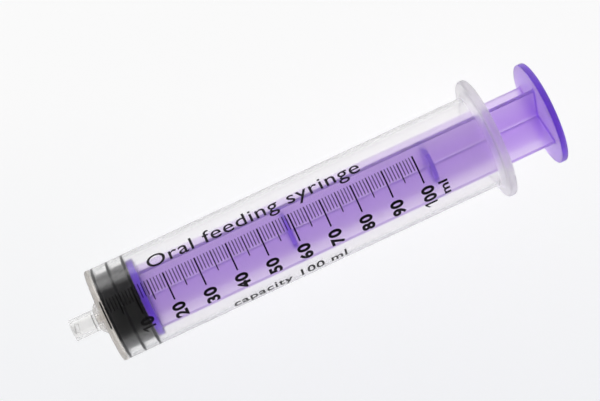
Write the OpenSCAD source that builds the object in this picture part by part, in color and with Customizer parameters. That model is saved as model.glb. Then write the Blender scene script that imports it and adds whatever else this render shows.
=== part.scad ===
// Oral syringe with a push-in plunger: a clear barrel with a finger flange and a socket tip,
// a rubber seal, and a cross-ribbed plunger rod with a thumb rest. Millimetres.
// The origin is the centre of the tip's mouth, +X runs along the syringe to the thumb rest,
// and +Z points up from the surface that the syringe lies on, through the printed scale.

/* [Barrel] */
// Inside diameter of the barrel
bore_d = 32.4; // [22:0.2:42]
// Wall thickness of the barrel
wall = 1.4; // [1:0.1:2.4]
// Thickness of the wall that closes the front
end_wall = 1.8; // [1.2:0.1:3]
// Rounding of the front edge
front_round = 0.6; // [0.3:0.1:1]
// Volume at the last mark of the scale, in ml
capacity = 100; // [50:10:120]
// Barrel left between the last mark and the finger flange
spare_len = 28.2; // [15:0.1:45]
// Lead-in at the open end: how much the bore opens and how deep
lead_in = 0.5; // [0.2:0.1:0.8]

/* [Finger flange] */
// How far the finger flange stands out from the barrel, all round
flange_reach = 5.4; // [3:0.1:15]
// Thickness of the finger flange
flange_t = 3.0; // [2:0.1:5]
// Height and length of the small cone between barrel and flange
flange_fillet = 1.8; // [0.4:0.1:2.4]

/* [Tip] */
// Length of the tip in front of the barrel's end wall
tip_len = 12.4; // [11:0.1:18]
// Outside diameter of the tip
tip_d = 8.1; // [7.4:0.1:11]
// Inside diameter of the socket
socket_d = 5.6; // [4:0.1:6]
// Depth of the socket
socket_depth = 8.4; // [6:0.1:10.5]
// Diameter of the passage from the socket into the barrel
lumen_d = 3.2; // [1.6:0.1:3.6]
// Diameter of the low cone at the tip's root
root_d = 15.2; // [12:0.1:19]
// Height of the low cone at the tip's root
root_h = 2.7; // [1.5:0.1:4]
// Width of each locking lug, round the tip
lug_w = 4.2; // [2.5:0.1:5]
// Length of each locking lug, along the tip
lug_len = 2.4; // [1.5:0.1:3.5]
// Height of each locking lug above the tip
lug_h = 0.9; // [0.5:0.1:1.5]

/* [Printed scale] */
// Thickness of the ink
ink_t = 0.03; // [0.02:0.01:0.05]
// Length round the barrel of the marks at every 10 ml
long_mark = 10.6; // [8:0.1:14]
// Length round the barrel of the marks at every 5 ml
middle_mark = 7.7; // [5:0.1:10]
// Length round the barrel of the marks at every 1 ml
short_mark = 5.3; // [3:0.1:7]
// Width of the lines at every 10 ml
long_line = 0.6; // [0.3:0.01:0.8]
// Width of the lines at every 5 ml
middle_line = 0.42; // [0.25:0.01:0.6]
// Width of the lines at every 1 ml
short_line = 0.3; // [0.2:0.01:0.5]
// Angle from the top of the barrel to the end that all marks share
mark_start = 18.5; // [0:0.5:40]

/* [Seal] */
// Length of the rubber seal
seal_len = 12.9; // [10:0.1:18]
// Gap between the front of the seal and the end wall when the plunger is fully in
seal_gap = 0.4; // [0.2:0.1:1.5]
// Width of each sealing ring
ring_w = 1.3; // [0.8:0.1:2]
// Depth of the grooves between the sealing rings
groove_depth = 1.5; // [0.8:0.1:2.5]
// Running gap between a ring and the bore
ring_gap = 0.05; // [0.02:0.01:0.09]
// Distance of the zero mark in front of the seal's front edge
zero_lead = 0.5; // [0.3:0.1:0.8]

/* [Plunger] */
// Gap between the ribs' edges and the bore
rib_gap = 1.8; // [0.4:0.05:2.5]
// Gap between the head disc's edge and the bore
head_gap = 1.35; // [0.6:0.05:2.5]
// Thickness of the head disc
head_t = 2.5; // [1.5:0.1:4]
// Thickness of the ribs
rib_t = 1.55; // [1.2:0.05:2.5]
// Angle of the first rib round the axis
rib_angle = 53.5; // [0:0.5:90]
// Diameter of the two stiffening discs between the ribs
web_d = 15; // [8:0.2:26]
// Thickness of the stiffening discs
web_t = 1.6; // [1:0.1:3]
// Place of the first stiffening disc, as a share of the ribs' length
first_web = 0.356; // [0.2:0.001:0.45]
// Place of the second stiffening disc, as a share of the ribs' length
second_web = 0.718; // [0.6:0.001:0.75]
// Length of rod that shows behind the flange when the plunger is fully in
rod_out = 19.4; // [12:0.2:40]
// Diameter of the thumb rest
thumb_d = 39.2; // [32:0.2:60]
// Thickness of the thumb rest
thumb_t = 2.5; // [1.6:0.1:4]
// Diameter of the neck that goes into the seal
neck_d = 10; // [6:0.2:12]
// Length of the neck between the head disc and the button
neck_len = 3.7; // [2:0.1:5]
// Diameter of the button that holds the seal
button_d = 15; // [13:0.2:18]
// Thickness of the button
button_t = 3.4; // [2:0.1:4]
// Turning gap between the rod's neck and button and the seal
turn_gap = 0.05; // [0.02:0.01:0.09]

/* [Hidden] */
$fn = 120;

bore_r = bore_d / 2;
barrel_r = bore_r + wall;
ml_len = 1000 / (PI * bore_r * bore_r);
front_x = tip_len;
inside_x = front_x + end_wall;
seal_x = inside_x + seal_gap;
zero_x = seal_x - zero_lead;
scale_end_x = zero_x + capacity * ml_len;
flange_x = scale_end_x + spare_len;
mouth_x = flange_x + flange_t;
seal_back_x = seal_x + seal_len;
head_x = seal_back_x + turn_gap;
ribs_x = head_x + head_t;
thumb_x = mouth_x + rod_out;
rod_end_x = thumb_x + thumb_t;
rib_r = bore_r - rib_gap;
head_r = bore_r - head_gap;
ring_r = bore_r - ring_gap;
groove_r = ring_r - groove_depth;
button_x = head_x - neck_len - button_t;
rod_span = thumb_x - ribs_x;
web_x = [ribs_x + first_web * rod_span, ribs_x + second_web * rod_span];
edge_round = 0.5;
root_step = 1.2;
lug_x = 0.3;
overlap = 0.1;
past = 1;

// Puts what was drawn along +Z on the syringe's axis, starting at x. An angle of 180 is the top.
module along(x) {
    translate([x, 0, 0]) rotate([0, 90, 0]) children();
}

// A disc with rounded edges.
module rounded_disc(r, t, corner) {
    rotate_extrude() {
        square([r - corner, t]);
        translate([0, corner]) square([r, t - 2 * corner]);
        translate([r - corner, corner]) circle(corner, $fn = 32);
        translate([r - corner, t - corner]) circle(corner, $fn = 32);
    }
}

// One locking lug: a short curved block on the tip, by its mouth.
module lug() {
    intersection() {
        along(lug_x) difference() {
            cylinder(h = lug_len, r = tip_d / 2 + lug_h);
            translate([0, 0, -past]) cylinder(h = lug_len + 2 * past, r = tip_d / 2 - overlap);
        }
        translate([0, -lug_w / 2, 0]) cube([2 * lug_len, lug_w, tip_d]);
    }
}

module barrel_outside() {
    along(front_x) rounded_disc(barrel_r, 4 * front_round, front_round);
    along(front_x + 2 * front_round) cylinder(h = flange_x - front_x - 2 * front_round, r = barrel_r);
    along(flange_x - flange_fillet)
        cylinder(h = flange_fillet + overlap, r1 = barrel_r, r2 = barrel_r + flange_fillet);
    along(flange_x) rounded_disc(barrel_r + flange_reach, flange_t, edge_round);
}

module tip_outside() {
    along(0) cylinder(h = tip_len + overlap, d = tip_d);
    along(tip_len - root_h) cylinder(h = root_h + overlap, d1 = tip_d + root_step, d2 = root_d);
    lug();
    mirror([0, 0, 1]) lug();
}

module barrel() {
    color([0.93, 0.92, 0.92, 0.45])
    difference() {
        union() {
            barrel_outside();
            tip_outside();
        }
        along(inside_x) cylinder(h = mouth_x - inside_x + past, r = bore_r);
        along(mouth_x - 2 * lead_in)
            cylinder(h = 2 * lead_in + overlap, r1 = bore_r, r2 = bore_r + lead_in + overlap / 2);
        along(-past) cylinder(h = socket_depth + past, d = socket_d);
        along(socket_depth - past) cylinder(h = inside_x - socket_depth + 2 * past, d = lumen_d);
    }
}

// One printed mark: a thin curved pad on the barrel, centred on its volume.
module mark(volume, length, width) {
    arc = length / barrel_r * 180 / PI;
    along(zero_x + volume * ml_len - width / 2)
        rotate([0, 0, 180 - mark_start])
        rotate_extrude(angle = arc)
        translate([barrel_r, 0]) square([ink_t, width]);
}

module scale_tens() {
    color([0.08, 0.07, 0.08])
    for (volume = [0 : 10 : capacity]) mark(volume, long_mark, long_line);
}

module scale_fives() {
    color([0.08, 0.07, 0.08])
    for (volume = [5 : 10 : capacity]) mark(volume, middle_mark, middle_line);
}

module scale_units() {
    color([0.08, 0.07, 0.08])
    for (volume = [1 : capacity]) if (volume % 5 != 0) mark(volume, short_mark, short_line);
}

module seal() {
    ring_step = (seal_len - ring_w) / 2;
    color([0.12, 0.12, 0.14])
    difference() {
        union() {
            along(seal_x + ring_w / 4) cylinder(h = seal_len - ring_w / 2, r = groove_r);
            for (i = [0 : 2]) along(seal_x + i * ring_step) rounded_disc(ring_r, ring_w, ring_w / 4);
        }
        along(head_x - neck_len - past) cylinder(h = neck_len + 2 * past, r = neck_d / 2 + turn_gap);
        along(button_x - turn_gap) cylinder(h = button_t + 2 * turn_gap, r = button_d / 2 + turn_gap);
    }
}

module plunger_rod() {
    color([0.62, 0.48, 0.85, 0.8]) {
        along(button_x) cylinder(h = button_t, d = button_d);
        along(button_x + button_t - overlap) cylinder(h = neck_len + 2 * overlap, d = neck_d);
        along(head_x) rounded_disc(head_r, head_t, edge_round);
        for (turn = [0, 90])
            rotate([rib_angle + turn, 0, 0])
            translate([ribs_x - overlap, -rib_r, -rib_t / 2])
            cube([rod_span + 2 * overlap, 2 * rib_r, rib_t]);
        for (x = web_x) along(x - web_t / 2) cylinder(h = web_t, d = web_d);
        along(thumb_x) rounded_disc(thumb_d / 2, thumb_t, edge_round);
    }
}

barrel();
scale_tens();
scale_fives();
scale_units();
seal();
plunger_rod();
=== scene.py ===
import math

import bmesh
import bpy
from mathutils import Matrix, Vector


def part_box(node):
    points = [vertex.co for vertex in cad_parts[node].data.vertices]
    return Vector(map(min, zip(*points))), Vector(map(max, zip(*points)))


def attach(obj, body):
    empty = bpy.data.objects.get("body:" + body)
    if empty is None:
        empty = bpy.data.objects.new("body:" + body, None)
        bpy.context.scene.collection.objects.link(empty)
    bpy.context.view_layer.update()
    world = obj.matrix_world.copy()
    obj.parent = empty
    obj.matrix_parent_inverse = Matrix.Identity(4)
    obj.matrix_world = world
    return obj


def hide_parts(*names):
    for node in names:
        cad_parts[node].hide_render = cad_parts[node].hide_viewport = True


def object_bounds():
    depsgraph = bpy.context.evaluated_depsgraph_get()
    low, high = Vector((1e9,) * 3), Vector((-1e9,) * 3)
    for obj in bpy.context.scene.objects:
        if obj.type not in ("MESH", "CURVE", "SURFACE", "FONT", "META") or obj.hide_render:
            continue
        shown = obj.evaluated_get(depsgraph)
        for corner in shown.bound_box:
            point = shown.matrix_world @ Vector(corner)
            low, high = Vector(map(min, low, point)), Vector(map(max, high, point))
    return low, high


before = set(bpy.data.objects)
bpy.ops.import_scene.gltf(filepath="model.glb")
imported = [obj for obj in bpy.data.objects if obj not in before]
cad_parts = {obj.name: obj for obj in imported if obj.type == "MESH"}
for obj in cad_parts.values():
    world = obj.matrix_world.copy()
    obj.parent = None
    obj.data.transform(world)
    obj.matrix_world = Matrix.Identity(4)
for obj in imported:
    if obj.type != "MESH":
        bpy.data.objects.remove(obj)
cad_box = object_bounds()

# The camera: a long lens almost straight above the syringe, leaning a little to the tip's end and
# turned so that the syringe rises to the right.
target = Vector((0.0939, 0.0081, 0.0))
camera_distance = 0.6335
camera_lean = math.radians(3.46)
camera_turn = math.radians(24.94)
camera = bpy.data.objects.new("camera", bpy.data.cameras.new("camera"))
bpy.context.scene.collection.objects.link(camera)
camera.data.sensor_width = 36.0
camera.data.lens = 104.9
camera.data.clip_start = 0.05
camera.data.clip_end = 10.0
tilt = Matrix.Rotation(-camera_lean, 4, "Y") @ Matrix.Rotation(-camera_turn, 4, "Z")
camera.matrix_world = Matrix.Translation(target) @ tilt @ Matrix.Translation((0, 0, camera_distance))
bpy.context.scene.camera = camera
bpy.context.scene.cycles.max_bounces = 32
bpy.context.scene.cycles.transmission_bounces = 32

# The surface it lies on: a smooth white acrylic sheet, lit from below. The syringe touches it with
# the front edge of its barrel and the rim of its finger flange, so the sheet is tipped by the
# difference of the two.
mm = 0.001
barrel_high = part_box("barrel")[1]
flange_radius = barrel_high.z
barrel_radius = 17.6 * mm
front_edge_x, flange_x = 12.4 * mm, barrel_high.x - 3.0 * mm
sheet_size = 6.0
gap_below = 0.1 * mm
slope = math.atan((flange_radius - barrel_radius) / (flange_x - front_edge_x))
bpy.ops.mesh.primitive_grid_add(x_subdivisions=8, y_subdivisions=8, size=sheet_size)
surface = bpy.context.object
surface.name = "surface"
surface.matrix_world = (
    Matrix.Translation((front_edge_x, 0, -barrel_radius - gap_below)) @ Matrix.Rotation(slope, 4, "Y"))


class Finish:
    """One material and its nodes. add() makes any node and gives one of its outputs as a Wire."""

    def __init__(self, name, tree=None):
        if tree is None:
            self.material = bpy.data.materials.new(name)
            self.material.use_nodes = True
            tree = self.material.node_tree
        self.tree = tree
        self.tree.nodes.clear()

    def add(self, kind, settings=None, values=None, out=0):
        node = self.tree.nodes.new(kind)
        for name, setting in (settings or {}).items():
            if name == "stops":
                ramp = node.color_ramp
                while len(ramp.elements) < len(setting):
                    ramp.elements.new(0.5)
                for stop, (place, colour) in zip(ramp.elements, setting):
                    stop.position = place
                    stop.color = (*colour, 1.0)
            else:
                setattr(node, name, setting)
        for name, value in (values or {}).items():
            socket = node.inputs[name]
            if isinstance(value, Wire):
                self.tree.links.new(value.socket, socket)
            else:
                socket.default_value = value
        return Wire(self, node.outputs[out]) if node.outputs else None


class Wire:
    """An output socket that takes part in arithmetic: each operation adds a Math node."""

    def __init__(self, finish, socket):
        self.finish = finish
        self.socket = socket

    def maths(self, operation, first, second):
        return self.finish.add("ShaderNodeMath", {"operation": operation}, {0: first, 1: second})

    def __add__(self, other):
        return self.maths("ADD", self, other)

    __radd__ = __add__

    def __mul__(self, other):
        return self.maths("MULTIPLY", self, other)

    __rmul__ = __mul__

    def __sub__(self, other):
        return self.maths("SUBTRACT", self, other)

    def __rsub__(self, other):
        return self.maths("SUBTRACT", other, self)

    def __pow__(self, other):
        return self.maths("POWER", self, other)


sheet = Finish("white_sheet")
place = sheet.add("ShaderNodeTexCoord", out="Object")
fleck = sheet.add("ShaderNodeTexNoise", {}, {"Vector": place, "Scale": 900.0, "Detail": 3.0}, "Fac")
camera_up = tilt.to_3x3() @ Vector((0, 1, 0))
rise = sheet.add(
    "ShaderNodeVectorMath", {"operation": "DOT_PRODUCT"}, {0: place, 1: camera_up}, "Value")
far_share = sheet.add("ShaderNodeMapRange", {}, {"Value": rise, "From Min": -0.05, "From Max": 0.08})
backlight = sheet.add("ShaderNodeMix", {"data_type": "RGBA"}, {
    "Factor": far_share, 6: (0.915, 0.925, 0.95, 1), 7: (1.0, 1.0, 1.0, 1)}, 2)
face = sheet.add("ShaderNodeBsdfPrincipled", {}, {
    "Base Color": (0.3, 0.3, 0.3, 1), "Roughness": 0.6 + 0.1 * fleck, "Specular IOR Level": 0.2,
    "Emission Color": backlight, "Emission Strength": 0.905})
sheet.add("ShaderNodeOutputMaterial", {}, {"Surface": face})
surface.data.materials.append(sheet.material)

# The lights: a white tent that is bright near the horizon and dim overhead, and a soft panel along
# the syringe's far side.


def fade(value, start, end, low=0.0, high=1.0):
    """A shader value's smooth change, from low where it is at start to high where it is at end."""
    return value.finish.add("ShaderNodeMapRange", {"interpolation_type": "SMOOTHSTEP"}, {
        "Value": value, "From Min": start, "From Max": end, "To Min": low, "To Max": high})


world = bpy.data.worlds.new("tent")
world.use_nodes = True
tent = Finish("tent", world.node_tree)
direction = tent.add("ShaderNodeTexCoord", out="Generated")
upward = tent.add("ShaderNodeSeparateXYZ", {}, {0: direction}, "Z")
brightness = fade(upward, 0.12, 0.4, 1.0, 0.05)
glow = tent.add("ShaderNodeBackground", {}, {"Color": (1.0, 1.0, 1.0, 1), "Strength": 0.95 * brightness})
tent.add("ShaderNodeOutputWorld", {}, {"Surface": glow})
bpy.context.scene.world = world

middle = (cad_box[0] + cad_box[1]) / 2


def soft_panel(name, side, height, width, depth, strength):
    """A rectangular lamp at (0, side, height) from the syringe's middle, facing it."""
    lamp = bpy.data.objects.new(name, bpy.data.lights.new(name, "AREA"))
    bpy.context.scene.collection.objects.link(lamp)
    lamp.data.shape = "RECTANGLE"
    lamp.data.size, lamp.data.size_y = width, depth
    lamp.data.energy = strength * math.pi * width * depth
    spot = Vector((middle.x, side, height))
    lamp.matrix_world = (Matrix.Translation(spot)
                         @ (middle - spot).to_track_quat("-Z", "Y").to_matrix().to_4x4())


soft_panel("panel_far", 0.9, 0.2, 2.4, 0.34, 1.2)

bpy.context.scene.view_settings.view_transform = "Standard"

# The barrel: one moulding of clear, slightly milky polypropylene, with the tube, front wall, tip
# and finger flange in one. The tip is a socket with two short turns of thread outside it.


def rounded(corners, steps=6):
    """An outline's corners (x, r, rounding), each one with a rounding turned into an arc."""
    points = []
    for i, (x, r, rounding) in enumerate(corners):
        here = Vector((x, r))
        if not rounding:
            points.append(here)
            continue
        before = (Vector(corners[i - 1][:2]) - here).normalized()
        after = (Vector(corners[(i + 1) % len(corners)][:2]) - here).normalized()
        half = before.angle(after) / 2
        centre = here + (before + after).normalized() * (rounding / math.sin(half))
        start = here + before * (rounding / math.tan(half)) - centre
        end = here + after * (rounding / math.tan(half)) - centre
        for step in range(steps + 1):
            points.append(centre + rounding * start.slerp(end, step / steps))
    return points


def finished(name, shape, crease=32.0):
    """A Blender object from a bmesh: smooth, but sharp along edges that turn more than crease."""
    bmesh.ops.recalc_face_normals(shape, faces=shape.faces)
    for face in shape.faces:
        face.smooth = True
    for edge in shape.edges:
        edge.smooth = len(edge.link_faces) == 2 and edge.calc_face_angle() < math.radians(crease)
    mesh = bpy.data.meshes.new(name)
    shape.to_mesh(mesh)
    shape.free()
    piece = bpy.data.objects.new(name, mesh)
    bpy.context.scene.collection.objects.link(piece)
    piece.modifiers.new("level normals", "WEIGHTED_NORMAL").keep_sharp = True
    return piece


def turned(outline, steps=180, swell=None):
    """A bmesh of an outline of (x, r) points turned round the X axis. swell(x, r, angle) adds to r."""
    on_axis = 0.01 * mm
    shape = bmesh.new()
    rings = []
    for x, r in outline:
        if r < on_axis:
            rings.append([shape.verts.new((x, 0, 0))] * steps)
            continue
        ring = []
        for step in range(steps):
            angle = math.tau * step / steps
            reach = r + (swell(x, r, angle) if swell else 0)
            ring.append(shape.verts.new((x, -reach * math.sin(angle), reach * math.cos(angle))))
        rings.append(ring)
    for first, second in zip(rings, rings[1:] + rings[:1]):
        if first[0] is first[1] and second[0] is second[1]:
            continue
        for step in range(steps):
            after = (step + 1) % steps
            corners = [first[step], first[after], second[after], second[step]]
            shape.faces.new(list(dict.fromkeys(corners)))
    return shape


bore = 16.2 * mm
tip_outer, tip_inner, passage = 4.05 * mm, 2.8 * mm, 1.6 * mm
socket_depth, inside_x = 8.4 * mm, 14.2 * mm
cone_x, cone_foot, cone_top = 9.7 * mm, 4.65 * mm, 7.6 * mm
mouth_x = barrel_high.x
lead_in, lead_in_depth = 0.5 * mm, 1.2 * mm
thread_height, thread_start, thread_end = 0.85 * mm, 0.35 * mm, 2.1 * mm
thread_rise, thread_edge = 0.6 * mm, 0.25 * mm
thread_half_width, thread_run_out = 31.0, 5.0  # degrees
# The skin lies a hair below the undersides of the marks, so that the two don't share a face.
skin_radius = barrel_radius - 0.005 * mm
flange_front_x = flange_x - 0.01 * mm


def step_up(value, low, high):
    """0 below low, 1 above high, and a smooth step between."""
    share = min(max((value - low) / (high - low), 0), 1)
    return share * share * (3 - 2 * share)


def thread(x, r, angle):
    """The two short turns of thread stand out of the tip, on the top and on the bottom."""
    if abs(r - tip_outer) > 0.02 * mm:
        return 0
    degrees = (math.degrees(angle) + 90) % 180 - 90
    slant = thread_rise * (degrees / thread_half_width + 1) / 2
    ridge = (step_up(x - slant, thread_start, thread_start + thread_edge)
             * (1 - step_up(x - slant, thread_end - thread_edge, thread_end)))
    run_out = step_up(abs(degrees), thread_half_width - thread_run_out, thread_half_width)
    return thread_height * ridge * (1 - run_out)


tip_stations = [(thread_start + 0.1 * mm * i, tip_outer, 0) for i in range(33)]
barrel_outline = rounded([
    (0, tip_outer, 0.3 * mm), *tip_stations,
    (cone_x, tip_outer, 0.25 * mm), (cone_x + 0.1 * mm, cone_foot, 0),
    (front_edge_x, cone_top, 0.5 * mm), (front_edge_x, skin_radius, 0.6 * mm),
    (flange_front_x, skin_radius, 2.0 * mm), (flange_front_x, flange_radius, 1.0 * mm),
    (mouth_x, flange_radius, 1.0 * mm), (mouth_x, bore + lead_in, 0.3 * mm),
    (mouth_x - lead_in_depth, bore, 0.8 * mm), (inside_x, bore, 0.5 * mm),
    (inside_x, passage, 0.3 * mm), (socket_depth, passage, 0.2 * mm),
    (socket_depth, tip_inner, 0.25 * mm), (0, tip_inner, 0.3 * mm)])
barrel = finished("barrel_shell", turned(barrel_outline, 240, thread))
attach(barrel, "barrel")
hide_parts("barrel")


def lit_through(finish, body, colour):
    """The body's shader, but open to shadow rays, so that the lamps shine in through the piece."""
    open_to_lamps = finish.add("ShaderNodeBsdfTransparent", {}, {"Color": colour})
    shadow = finish.add("ShaderNodeLightPath", out="Is Shadow Ray")
    return finish.add("ShaderNodeMixShader", {}, {0: shadow, 1: body, 2: open_to_lamps})


# The moulding is frosted by the front wall and at the flange, and warmer where the light runs
# along the thick front wall.
milk = Finish("clear_polypropylene")
place = milk.add("ShaderNodeTexCoord", out="Object")
haze = milk.add("ShaderNodeTexNoise", {}, {"Vector": place, "Scale": 60.0, "Detail": 4.0}, "Fac")
grain = milk.add("ShaderNodeTexNoise", {}, {"Vector": place, "Scale": 2600.0, "Detail": 2.0}, "Fac")
skin = milk.add(
    "ShaderNodeBump", {}, {"Strength": 0.005, "Distance": 0.00002, "Height": grain}, "Normal")
axial = milk.add("ShaderNodeSeparateXYZ", {}, {0: place}, "X")
near_wall = 1 - fade(axial, inside_x - 0.3 * mm, inside_x + 0.2 * mm)
near_root = fade(axial, 11.8 * mm, 12.6 * mm, 0.15, 1.0)
near_flange = fade(axial, flange_x - 3 * mm, flange_x)
front = milk.add("ShaderNodeMapRange", {}, {"Value": axial, "From Min": 10 * mm, "From Max": 18 * mm})
tint = milk.add("ShaderNodeValToRGB", {"stops": [
    (0.25, (0.985, 0.98, 0.972)), (0.32, (0.95, 0.888, 0.825)), (0.52, (0.95, 0.888, 0.825)),
    (0.6, (0.989, 0.986, 0.982))]}, {"Fac": front})
clear = milk.add("ShaderNodeBsdfPrincipled", {}, {
    "Base Color": tint, "IOR": 1.45,
    "Roughness": 0.1 + 0.05 * haze + 0.32 * (near_wall * near_root + near_flange),
    "Transmission Weight": 0.985, "Normal": skin})
milky = milk.add("ShaderNodeBsdfTranslucent", {}, {"Color": (0.96, 0.95, 0.93, 1), "Normal": skin})
body = milk.add("ShaderNodeMixShader", {}, {0: 0.03 + 0.04 * near_flange, 1: clear, 2: milky})
milk.add("ShaderNodeOutputMaterial", {}, {"Surface": lit_through(milk, body, (0.97, 0.97, 0.97, 1))})
barrel.data.materials.append(milk.material)

# The printed scale: black ink, screen-printed on the barrel after moulding. The marks are the CAD
# model's own; the numerals and words are laid flat, then bent round the barrel.


def dress(node, finish):
    """Gives a carried-over CAD node its finish."""
    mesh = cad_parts[node].data
    mesh.materials.clear()
    mesh.materials.append(finish.material)


ink = Finish("black_ink")
place = ink.add("ShaderNodeTexCoord", out="Object")
speckle = ink.add("ShaderNodeTexNoise", {}, {"Vector": place, "Scale": 3000.0, "Detail": 3.0}, "Fac")
film = ink.add("ShaderNodeBsdfPrincipled", {}, {
    "Base Color": (0.012, 0.01, 0.012, 1), "Roughness": 0.4 + 0.25 * speckle,
    "Specular IOR Level": 0.3})
ink.add("ShaderNodeOutputMaterial", {}, {"Surface": film})
for node in ("scale_tens", "scale_fives", "scale_units"):
    dress(node, ink)

ink_thickness = 0.03 * mm
cap_height = 0.682  # of the plain typeface, at a size of 1


def letters(words, size, bold, wide=1.0, spacing=1.0):
    """Flat letters as a bmesh: size is their cap height, and they start at x = 0 on the line y = 0."""
    curve = bpy.data.curves.new(words, "FONT")
    curve.body = words
    curve.size = size / cap_height
    curve.offset = bold
    curve.space_character = spacing
    curve.resolution_u = 6
    writing = bpy.data.objects.new(words, curve)
    bpy.context.scene.collection.objects.link(writing)
    bpy.context.view_layer.update()
    evaluated = writing.evaluated_get(bpy.context.evaluated_depsgraph_get())
    flat = bpy.data.meshes.new_from_object(evaluated)
    bpy.data.objects.remove(writing)
    shape = bmesh.new()
    shape.from_mesh(flat)
    bmesh.ops.remove_doubles(shape, verts=shape.verts, dist=0.001 * mm)
    start = min(vert.co.x for vert in shape.verts)
    for vert in shape.verts:
        vert.co.x = (vert.co.x - start) * wide
    return shape


def printed(shape, spot):
    """Lays flat letters on the barrel, at spot(x, y) = (place along it, angle from the top).

    They are cut into strips of one pitch first, so that they can bend, and then given a thickness.
    """
    extent = [max(vert.co[axis] for vert in shape.verts) for axis in (0, 1)]
    pitch = 0.6 * mm
    for axis in (0, 1):
        for i in range(-4, int(extent[axis] / pitch) + 1):
            normal = Vector((axis == 0, axis == 1, 0))
            whole = shape.verts[:] + shape.edges[:] + shape.faces[:]
            bmesh.ops.bisect_plane(shape, geom=whole, plane_co=normal * pitch * (i + 0.5),
                                   plane_no=normal, dist=0.0001 * mm)
    inner = shape.faces[:]
    upper = bmesh.ops.extrude_face_region(shape, geom=inner, use_keep_orig=True)
    raised = {item for item in upper["geom"] if isinstance(item, bmesh.types.BMVert)}
    for vert in shape.verts:
        x, angle = spot(vert.co.x, vert.co.y)
        radius = barrel_radius + (ink_thickness if vert in raised else 0)
        vert.co = (x, -radius * math.sin(angle), radius * math.cos(angle))
    return shape


def joined(name, shapes):
    """One printed piece from several bmeshes."""
    whole = bmesh.new()
    for shape in shapes:
        part = bpy.data.meshes.new("part")
        shape.to_mesh(part)
        shape.free()
        whole.from_mesh(part)
        bpy.data.meshes.remove(part)
    piece = finished(name, whole)
    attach(piece, "barrel")
    piece.data.materials.append(ink.material)


zero_x = 14.1 * mm
ml_length = 1e-6 / (math.pi * bore ** 2)
digit_height, digit_width, digit_advance = 4.9 * mm, 0.92, 3.3 * mm
nearest_digit = math.radians(25.7)


def across(mark_x, height, start):
    """Letters that read across the barrel, towards +Y, with their feet on the thumb rest's side."""
    return lambda x, y: (mark_x + height / 2 - y, start - x / barrel_radius)


def one():
    """The figure one, with a slanting flag at its top."""
    stem, stroke, top = 1.4 * mm, 0.85 * mm, digit_height
    flag_drop, flag_end, flag_foot, flag_top = 1.9 * mm, 0.65 * mm, 0.85 * mm, 0.15 * mm
    shape = bmesh.new()
    outline = [(stem, 0), (stem + stroke, 0), (stem + stroke, top), (stem + flag_top, top),
               (0, top - flag_drop + flag_end), (0, top - flag_drop), (stem, top - flag_foot)]
    shape.faces.new([shape.verts.new((x, y, 0)) for x, y in outline])
    shape.normal_update()
    bmesh.ops.triangulate(shape, faces=shape.faces)
    return shape


figures = []
for volume in range(10, 101, 10):
    for column, figure in enumerate(reversed(str(volume))):
        # The eight is a hair bolder: at the weight of the others its mesh would be left open.
        bold = (0.28 if figure == "8" else 0.27) * mm
        digit = one() if figure == "1" else letters(
            figure, digit_height - 2 * bold, bold, digit_width)
        width = max(vert.co.x for vert in digit.verts)
        start = nearest_digit + (column * digit_advance + width / 2) / barrel_radius
        figures.append(printed(digit, across(zero_x + volume * ml_length, digit_height, start)))
joined("printed_numerals", figures)

unit_height, unit_width, unit_bold = 3.6 * mm, 1.3, 0.12 * mm
unit_x, unit_start = zero_x + 100 * ml_length + 6.3 * mm, math.radians(41.4)
unit = letters("ml", unit_height - 2 * unit_bold, unit_bold, unit_width)
joined("printed_unit", [printed(unit, across(unit_x, unit_height, unit_start))])


def printed_line(name, words, size, bold, start, end, foot):
    """One piece of print along the barrel, stretched from start to end, with its foot at an angle."""
    line = letters(words, size, bold, spacing=1.08)
    stretch = (end - start) / max(vert.co.x for vert in line.verts)
    for vert in line.verts:
        vert.co.x *= stretch
    joined(name, [printed(line, lambda x, y: (start + x, foot - y / barrel_radius))])


printed_line("printed_title", "Oral feeding syringe", 5.0 * mm, 0.04 * mm,
             34.6 * mm, 117.0 * mm, math.radians(-29.1))
printed_line("printed_note", "capacity 100 ml", 4.6 * mm, 0.1 * mm,
             56.5 * mm, 101.0 * mm, math.radians(70.0))

# The seal: black moulded rubber with three rings that press on the bore, lightly oiled, and a
# pocket behind for the button of the rod.
seal_low, seal_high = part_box("seal")
ring_width, ring_edge = 1.3 * mm, 0.3 * mm
groove, groove_corner = 14.7 * mm, 0.35 * mm
contact = bore + 0.02 * mm
seal_back = seal_high.x
neck, pocket = 5.05 * mm, 7.55 * mm
pocket_back, pocket_front = seal_back - 3.65 * mm, seal_back - 7.1 * mm
seal_corners = [(seal_low.x, 0, 0)]
for ring in range(3):
    ring_x = seal_low.x + ring * (seal_back - seal_low.x - ring_width) / 2
    if ring:
        seal_corners.append((ring_x, groove, groove_corner))
    seal_corners.append((ring_x, contact, ring_edge))
    seal_corners.append((ring_x + ring_width, contact, ring_edge))
    if ring < 2:
        seal_corners.append((ring_x + ring_width, groove, groove_corner))
seal_corners += [(seal_back, neck, 0.2 * mm), (pocket_back, neck, 0.2 * mm), (pocket_back, pocket, 0),
                 (pocket_front, pocket, 0), (pocket_front, 0, 0)]
seal = finished("rubber_seal", turned(rounded(seal_corners)))
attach(seal, "seal")
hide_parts("seal")

rubber = Finish("black_rubber")
place = rubber.add("ShaderNodeTexCoord", out="Object")
patch = rubber.add("ShaderNodeTexNoise", {}, {"Vector": place, "Scale": 400.0, "Detail": 4.0}, "Fac")
body = rubber.add("ShaderNodeBsdfPrincipled", {}, {
    "Base Color": (0.01, 0.0095, 0.014, 1), "Roughness": 0.1 + 0.1 * patch})
rubber.add("ShaderNodeOutputMaterial", {}, {"Surface": body})
seal.data.materials.append(rubber.material)

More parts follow.
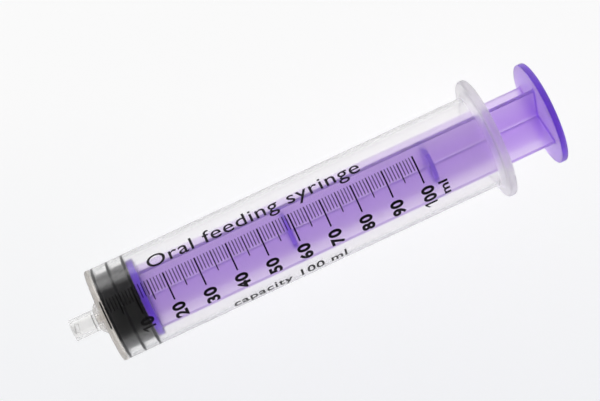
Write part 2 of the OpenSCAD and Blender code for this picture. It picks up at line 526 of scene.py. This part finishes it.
# The plunger rod: one moulding of purple polypropylene that light passes through, so that it is
# paler where it is thin and deeper where ribs lie over each other.
rod_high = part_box("plunger_rod")[1]
rib_angle = math.radians(53.5)
rib_half, rib_reach = 0.775 * mm, 14.4 * mm
head_x, ribs_x = seal_back + 0.05 * mm, seal_back + 2.55 * mm
head_radius, thumb_radius = 14.85 * mm, rod_high.z
thumb_thickness = 2.5 * mm
thumb_x = rod_high.x - thumb_thickness
button_x, button_radius, button_thickness = head_x - 7.1 * mm, 7.5 * mm, 3.4 * mm
neck_radius = 5.0 * mm
web_radius, web_half = 7.5 * mm, 0.8 * mm
corner_fillet, root_fillet, edge_rounding = 0.4 * mm, 0.8 * mm, 0.12 * mm


def flare(distance, size):
    """How far a fillet of this size stands out at a distance from the face that it meets."""
    if distance >= size:
        return 0
    return size - math.sqrt(size ** 2 - (size - distance) ** 2)


def ribs():
    """The four ribs as one swept cross, wider where they run into the thumb rest and the head."""
    into = 1.0 * mm
    near = [root_fillet * (i / 6) ** 2 for i in range(7)]
    stations = [ribs_x - into] + [ribs_x + d / 2 for d in near]
    stations += [ribs_x + (thumb_x - ribs_x) * i / 12 for i in range(1, 12)]
    stations += [thumb_x - d for d in reversed(near)] + [thumb_x + into]
    shape = bmesh.new()
    rings = []
    for x in stations:
        wide = flare(max(thumb_x - x, 0), root_fillet) + flare(max(x - ribs_x, 0), root_fillet / 2)
        half = rib_half + wide
        reach = rib_reach + flare(max(thumb_x - x, 0), root_fillet)
        corners = []
        for arm in range(4):
            turn = rib_angle + arm * math.pi / 2
            corners += [(reach, -half, edge_rounding, turn), (reach, half, edge_rounding, turn),
                        (half, half, corner_fillet, turn)]
        flat = []
        for outward, side, rounding, turn in corners:
            flat.append((outward * math.cos(turn) - side * math.sin(turn),
                         outward * math.sin(turn) + side * math.cos(turn), rounding))
        rings.append([shape.verts.new((x, y, z)) for y, z in rounded(flat, 4)])
    for first, second in zip(rings, rings[1:]):
        for k in range(len(first)):
            after = (k + 1) % len(first)
            shape.faces.new([first[k], first[after], second[after], second[k]])
    shape.faces.new(rings[0])
    shape.faces.new(rings[-1])
    return finished("plunger_rod_moulding", shape)


def unite(piece, other):
    """Joins another closed solid to the piece, and removes the other."""
    join = piece.modifiers.new("join", "BOOLEAN")
    join.operation, join.solver, join.object = "UNION", "EXACT", other
    piece.modifiers.move(len(piece.modifiers) - 1, 0)
    bpy.context.view_layer.update()
    evaluated = piece.evaluated_get(bpy.context.evaluated_depsgraph_get())
    mesh = bpy.data.meshes.new_from_object(evaluated)
    piece.modifiers.remove(join)
    piece.data = mesh
    bpy.data.objects.remove(other)


def disc(name, x, radius, thickness, rounding, steps):
    """A disc with rounded edges, whose front face is at x."""
    back_x = x + thickness
    outline = rounded([(x, 0, 0), (x, radius, rounding), (back_x, radius, rounding), (back_x, 0, 0)])
    return finished(name, turned(outline, steps))


rod = ribs()
neck_x = button_x + button_thickness
spine = finished("spine", turned(rounded([
    (button_x, 0, 0), (button_x, button_radius, 0.4 * mm), (neck_x, button_radius, 0.3 * mm),
    (neck_x, neck_radius, 0.3 * mm), (head_x, neck_radius, 0.15 * mm),
    (head_x, head_radius, 0.4 * mm), (ribs_x, head_radius, 0.4 * mm), (ribs_x, 0, 0)])))
unite(rod, spine)
unite(rod, disc("thumb", thumb_x, thumb_radius, thumb_thickness, 0.45 * mm, 240))
webs = [ribs_x + share * (thumb_x - ribs_x) for share in (0.356, 0.718)]
for web_x in webs:
    unite(rod, disc("web", web_x - web_half, web_radius, 2 * web_half, 0.12 * mm, 96))
shape = bmesh.new()
shape.from_mesh(rod.data)
bmesh.ops.dissolve_degenerate(shape, edges=shape.edges, dist=0.0005 * mm)
shape.to_mesh(rod.data)
shape.free()
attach(rod, "rod")
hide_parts("plunger_rod")

# The colour goes by the distance from the axis, with painted shade: deepest where the ribs cross,
# where less light gets in between them, and palest at their outer edges. The two discs between the
# ribs are coloured deeper, as the light crosses more plastic there.
violet = Finish("violet_polypropylene")
place = violet.add("ShaderNodeTexCoord", out="Object")
haze = violet.add("ShaderNodeTexNoise", {}, {"Vector": place, "Scale": 80.0, "Detail": 4.0}, "Fac")
x, y, z = (violet.add("ShaderNodeSeparateXYZ", {}, {0: place}, axis) for axis in "XYZ")
stain_margin, colour_radius = 0.1 * mm, rib_reach + 1.1 * mm
along_web = sum(
    violet.add("ShaderNodeMath", {"operation": "COMPARE"}, {0: x, 1: web_x, 2: web_half + stain_margin})
    for web_x in webs)
reach = (y ** 2 + z ** 2) ** 0.5
inside_web = violet.add(
    "ShaderNodeMath", {"operation": "LESS_THAN"}, {0: reach, 1: web_radius + stain_margin})
# Painted shade: deepest where the ribs cross, palest near their outer edges, deeper again beyond them.
painted_crossing_shade = violet.add("ShaderNodeValToRGB", {"stops": [
    (0.0, (0.84, 0.71, 0.972)), (0.5, (0.865, 0.762, 0.976)), (0.93, (0.905, 0.825, 0.982)),
    (0.98, (0.865, 0.762, 0.976))]}, {"Fac": reach * (1 / colour_radius)})
# The painted shade from the ramp, with the two discs between the ribs coloured deeper.
painted_shade_and_web_depth = violet.add("ShaderNodeMix", {"data_type": "RGBA"}, {
    "Factor": along_web * inside_web, 6: painted_crossing_shade, 7: (0.58, 0.45, 0.92, 1)}, 2)
shell = violet.add("ShaderNodeBsdfPrincipled", {}, {
    "Base Color": painted_shade_and_web_depth, "Roughness": 0.3 + 0.1 * haze, "IOR": 1.25,
    "Transmission Weight": 0.93})
depth = violet.add("ShaderNodeVolumeAbsorption", {}, {"Color": (0.56, 0.22, 0.94, 1), "Density": 150.0})
violet.add("ShaderNodeOutputMaterial", {}, {
    "Surface": lit_through(violet, shell, (0.95, 0.93, 0.98, 1)), "Volume": depth})
rod.data.materials.clear()
rod.data.materials.append(violet.material)
